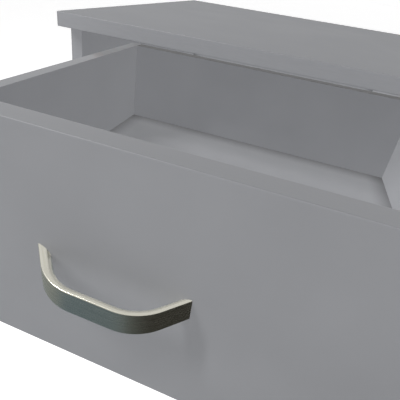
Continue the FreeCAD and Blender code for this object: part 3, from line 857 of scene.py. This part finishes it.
# The head's radius and height and the shank's radius, in mm, for each kind.
SCREWS = {
    "handle_screws": (pan_rings, 4.0, 2.4, 2.0),
    "back_screws": (countersunk_rings, 4.0, 3.0, 2.0),
    "runner_screws": (pan_rings, 3.0, 0.9, 1.5),
    "fixed_runner_screws": (pan_rings, 3.0, 0.9, 1.75),
}


def screws(node, kind):
    """One piece with a cross-recess screw for every solid of a node."""
    outline, radius, height, shank = SCREWS[kind]
    work = bmesh.new()
    for points in islands(node):
        crown, outward, length = axis_and_head(points)
        one = screw(
            outline(radius * MM, height * MM, shank * MM, length),
            CROSS_REACH * radius * MM, CROSS_WIDTH * radius * MM, CROSS_DEPTH * height * MM)
        stamp(work, one, crown, outward)
        bpy.data.meshes.remove(one)
    shade(work)
    return finish_piece(work, node + "_plated", [node], [zinc_plate])


screw_pieces = [screws("fixed_runner_screws", "fixed_runner_screws")]
screw_pieces += [
    screws(f"{drawer}_{kind}", kind)
    for drawer in drawers for kind in ("handle_screws", "back_screws", "runner_screws")]
screw_faces = sum(len(piece.data.polygons) for piece in screw_pieces)
print(len(screw_pieces), "pieces hold", screw_faces, "faces of screws")

# %% [markdown]
# ## Rollers
# Rollers and glides are nylon mouldings that are round about one axis, so each is half an
# outline spun through a full turn. A roller has a softly rounded tread and a dished side, as
# mouldings do to keep their walls even.

# %% Spin round pieces
ROUND_STEPS = 48


def lathe(work, outline, closed):
    """Spin an outline of (radius, height) pairs once round the Z axis."""
    already = len(work.verts)
    verts = [work.verts.new((radius, 0, height)) for radius, height in outline]
    pairs = list(zip(verts, verts[1:] + verts[:1]))
    edges = [work.edges.new(pair) for pair in (pairs if closed else pairs[:-1])]
    bmesh.ops.spin(
        work, geom=[*verts, *edges], cent=(0, 0, 0), axis=(0, 0, 1), dvec=(0, 0, 0), angle=2 * math.pi,
        steps=ROUND_STEPS, use_merge=True, use_normal_flip=False, use_duplicate=False)
    work.verts.ensure_lookup_table()
    bmesh.ops.remove_doubles(work, verts=work.verts[already:], dist=MERGE)
    bmesh.ops.recalc_face_normals(work, faces=work.faces)


PIN_BORE = 2.05 * MM
HUB = 4.2 * MM
RIM = 6.6 * MM
DISH = 1.0 * MM
TREAD_EDGE = 0.5 * MM


def roller_mesh(radius, width):
    """A bored wheel with a hub, a dished side and a rounded tread, its top side at height 0."""
    work = bmesh.new()
    lathe(work, [
        (PIN_BORE, 0), (HUB, 0), (HUB + 0.3 * DISH, -DISH), (RIM - 0.3 * DISH, -DISH), (RIM, 0),
        (radius - TREAD_EDGE, 0), (radius, -TREAD_EDGE), (radius, TREAD_EDGE - width),
        (radius - TREAD_EDGE, -width), (RIM, -width), (RIM - 0.3 * DISH, DISH - width),
        (HUB + 0.3 * DISH, DISH - width), (HUB, -width), (PIN_BORE, -width)], closed=True)
    mesh = bpy.data.meshes.new("one_roller")
    work.to_mesh(mesh)
    work.free()
    return mesh


def rollers(node):
    """The two rollers of one node."""
    work = bmesh.new()
    for points in islands(node):
        low, high = box_of(points)
        one = roller_mesh((high.z - low.z) / 2, high.x - low.x)
        stamp(work, one, Vector((high.x, (low.y + high.y) / 2, (low.z + high.z) / 2)), ACROSS)
        bpy.data.meshes.remove(one)
    shade(work)
    return finish_piece(work, node + "_moulded", [node], [white_nylon])


roller_pieces = [rollers(node) for node in nodes if node.endswith("_rollers")]
print("rollers:", [piece.name for piece in roller_pieces])

# %% [markdown]
# ## Glides
# A glide is a small domed button with its nail in one piece, driven into the bottom edge of an
# upright so that the desk slides without scraping the foil. The same lathe makes it. Its outline
# starts and ends on the axis, so it is left open and the spin closes it.

# %% Glides
GLIDE_PAD = 3.0 * MM
GLIDE_NAIL = 1.5 * MM

work = bmesh.new()
for points in islands("glides"):
    low, high = box_of(points)
    radius, length = (high.x - low.x) / 2, high.z - low.z
    button = bmesh.new()
    lathe(button, [
        (0, 0), (GLIDE_NAIL, 0), (GLIDE_NAIL, GLIDE_PAD - length), (radius, GLIDE_PAD - length),
        (radius, 0.35 * GLIDE_PAD - length), (0.85 * radius, 0.08 * GLIDE_PAD - length),
        (0.6 * radius, -length), (0, -length)], closed=False)
    one = bpy.data.meshes.new("one_glide")
    button.to_mesh(one)
    button.free()
    stamp(work, one, Vector(((low.x + high.x) / 2, (low.y + high.y) / 2, high.z)), Vector((0, 0, 1)))
    bpy.data.meshes.remove(one)
shade(work)
glide_piece = finish_piece(work, "glides_moulded", ["glides"], [grey_nylon])
print(glide_piece.name, len(glide_piece.data.polygons), "faces")

# %% [markdown]
# ## Runners
# The runners are steel strip, folded on a press brake and then powder coated. A fold can't be
# sharp: the outside of each bend has a radius of about the sheet's thickness, and the coat
# rounds the cut edges too. The long edges of the CAD shape are eased to show that.

# %% Ease the folds
LONG_EDGE = 50 * MM
FOLD_EASE = 0.4 * MM
RIGHT_ANGLE = math.radians(80)


def folded_runner(node):
    """A runner whose long outer edges are rounded."""
    work = merged_copy(node)
    folds = [
        e for e in work.edges
        if e.is_convex and e.calc_length() > LONG_EDGE and e.calc_face_angle() > RIGHT_ANGLE]
    ease(work, folds, FOLD_EASE)
    shade(work)
    return finish_piece(work, node + "_coated", [node], [powder_coat])


runners = [folded_runner(node) for node in nodes if node.endswith("_runner")]
print(len(runners), "runners,", sum(len(r.data.polygons) for r in runners), "faces")

# %% [markdown]
# ## Pieces that keep their CAD shape
# Cams, bolts and dowels are drawn in full in the frame and mostly buried in the boards. They only
# need their finish, which goes into the object's own material slot, so that the mesh itself stays
# untouched.

# %% Give the remaining CAD nodes their finish
KEPT_FINISHES = {"zinc_alloy": zinc_casting, "beech": beech}

kept = [node for node, shape in nodes.items() if not shape.hide_render]
for node in kept:
    for holder in nodes[node].material_slots:
        holder.link = "OBJECT"
        holder.material = KEPT_FINISHES[slot_of[node]]
print("kept as they are:", kept)

# %% [markdown]
# ## White dome
# The desk stands in a white studio where light comes from every side, so that even the inside of
# a drawer is clear. The dome is bright to look at and in a mirror, but it lights the desk only
# faintly, so that the lamps further down decide how light each side of it is.

# %% White dome
bpy.context.scene.view_settings.view_transform = "Standard"
DOME_SEEN = 1.0
DOME_LIGHTING = 0.06

dome = bpy.data.worlds.new("white_studio")
bpy.context.scene.world = dome
dome.use_nodes = True
tree = dome.node_tree
background = tree.nodes["Background"]
background.inputs["Color"].default_value = linear("#ffffff")
ray = add_node(tree, "ShaderNodeLightPath")
strength = add_node(
    tree, "ShaderNodeMapRange",
    {"Value": ray.outputs["Is Diffuse Ray"], "To Min": DOME_SEEN, "To Max": DOME_LIGHTING})
tree.links.new(strength.outputs["Result"], background.inputs["Strength"])
print("dome: seen", DOME_SEEN, "lighting", DOME_LIGHTING)

# %% [markdown]
# ## Floor
# The floor is a wide sheet with rolled white paint, whose roller leaves a faint mottle. A glow
# that only the camera sees lifts it to the white of the dome, as a floor that is lit from its own
# lamps would be, and it throws no light back on the desk.

# %% Pale floor
def stage_sheet(name, low, high, height, material):
    """A flat stage piece over a range of x and y."""
    work = bmesh.new()
    bmesh.ops.create_grid(work, x_segments=1, y_segments=1, size=0.5)
    bmesh.ops.scale(work, vec=(high[0] - low[0], high[1] - low[1], 1), verts=work.verts)
    bmesh.ops.translate(
        work, vec=((low[0] + high[0]) / 2, (low[1] + high[1]) / 2, height), verts=work.verts)
    mesh = bpy.data.meshes.new(name)
    work.to_mesh(mesh)
    work.free()
    mesh.materials.append(material)
    sheet = bpy.data.objects.new(name, mesh)
    bpy.context.scene.collection.objects.link(sheet)
    return sheet


FLOOR_MOTTLE = 300.0  # mm
FLOOR_REACH = 80.0  # m
FLOOR_GLOW = 0.45

pale_floor, tree, surface, place = new_material("matt_white_studio_paint_rolled")
surface.inputs["Roughness"].default_value = 0.9
surface.inputs["Emission Color"].default_value = linear("#ffffff")
mottle = add_node(
    tree, "ShaderNodeTexNoise", {"Vector": place, "Scale": per_metre(FLOOR_MOTTLE), "Detail": 2.0})
tone = add_node(
    tree, "ShaderNodeValToRGB", {"Fac": mottle.outputs["Fac"]},
    ramp=((0.3, "#f1f1f1"), (0.7, "#f5f5f5")))
seen = add_node(tree, "ShaderNodeLightPath").outputs["Is Camera Ray"]
glow = add_node(tree, "ShaderNodeMath", {0: seen, 1: FLOOR_GLOW}, operation="MULTIPLY")
feed(tree, surface, {"Base Color": tone.outputs["Color"], "Emission Strength": glow.outputs["Value"]})
stage_sheet(
    "studio_floor", (-FLOOR_REACH, -FLOOR_REACH), (FLOOR_REACH, FLOOR_REACH), 0.0, pale_floor)
print("the floor reaches", FLOOR_REACH, "m each way and glows by", FLOOR_GLOW)

# %% [markdown]
# ## Lamps
# Four suns without shadows fill from the four diagonals, low over the floor. One narrow strip
# light, high up to the left, gives direction and casts all the real shadows: it is long in the
# upright direction, so a shadow's sides are crisp while its lower end fades away.

# %% Fill suns and key strip
FILL_ELEVATION = 11.2  # degrees
# Each sun's heading in degrees round the desk, and its share of FILL_SCALE.
FILLS = {
    "front_left": (-135, 0.15),
    "front_right": (-45, 0.71),
    "back_right": (45, 0.19),
    "back_left": (135, 1.09),
}
FILL_SCALE = 3.77
KEY_DIRECTION = Vector((-0.62, -0.40, 0.68)).normalized()
KEY_DISTANCE = 3.0  # m, as are the next two
KEY_WIDTH = 0.12
KEY_LENGTH = 1.2
KEY_WATTS = 37.0

desk_centre = (cad_low + cad_high) / 2


def hang_light(name, kind, direction, distance, **settings):
    """A light that shines from a direction on to the middle of the desk."""
    lamp = bpy.data.lights.new(name, kind)
    for setting, value in settings.items():
        setattr(lamp, setting, value)
    light = bpy.data.objects.new(name, lamp)
    bpy.context.scene.collection.objects.link(light)
    light.location = desk_centre + direction * distance
    light.rotation_euler = direction.to_track_quat("Z", "Y").to_euler()
    return light


for name, (heading, share) in FILLS.items():
    turn, tilt = math.radians(heading), math.radians(FILL_ELEVATION)
    direction = Vector((math.cos(tilt) * math.cos(turn), math.cos(tilt) * math.sin(turn), math.sin(tilt)))
    fill = hang_light(
        "fill_" + name, "SUN", direction, KEY_DISTANCE, energy=share * FILL_SCALE, use_shadow=False)
    fill.visible_glossy = False
hang_light(
    "key_strip", "AREA", KEY_DIRECTION, KEY_DISTANCE,
    shape="RECTANGLE", size=KEY_WIDTH, size_y=KEY_LENGTH, energy=KEY_WATTS)

# %% [markdown]
# ## What the metal mirrors
# Polished metal is only as dark as what it mirrors. A cloth that nothing but a reflection can see
# lies on the floor round the desk: lighter and cooler to the left, dark brown to the right. It
# gives the handles their depth. The boards are left out of reflections, so that a handle's
# crowned side mirrors the bright studio and not the dull board right behind it.

# %% Flag for the metal to mirror
FLAG_HEIGHT = 5 * MM
FLAG_FRONT_LEFT = (-1.6, -2.4)
FLAG_BACK_RIGHT = (1.4, 0.7)
DYE_LEFT = -1.0  # where along x the dye starts to change
DYE_RIGHT = 0.2

flag_cloth, tree, surface, place = new_material("dyed_flag_cloth_woven")
surface.inputs["Roughness"].default_value = 1.0
surface.inputs["Specular IOR Level"].default_value = 0.0
across = add_node(tree, "ShaderNodeSeparateXYZ", {"Vector": place}).outputs["X"]
dye = add_node(
    tree, "ShaderNodeMapRange", {"Value": across, "From Min": DYE_LEFT, "From Max": DYE_RIGHT})
tone = add_node(
    tree, "ShaderNodeValToRGB", {"Fac": dye.outputs["Result"]},
    ramp=((0.04, "#949895"), (0.25, "#6e7e88"), (0.5, "#768185"), (0.62, "#636866"), (0.82, "#43423e")))
feed(tree, surface, {"Base Color": tone.outputs["Color"]})
flag = stage_sheet("floor_flag", FLAG_FRONT_LEFT, FLAG_BACK_RIGHT, FLAG_HEIGHT, flag_cloth)
flag.visible_camera = False
flag.visible_diffuse = False
flag.visible_shadow = False
flag.visible_transmission = False
for board in (*slabs, *boards, *sheets):
    board.visible_glossy = False
print("one flag, and", len(slabs + boards + sheets), "boards out of its way")
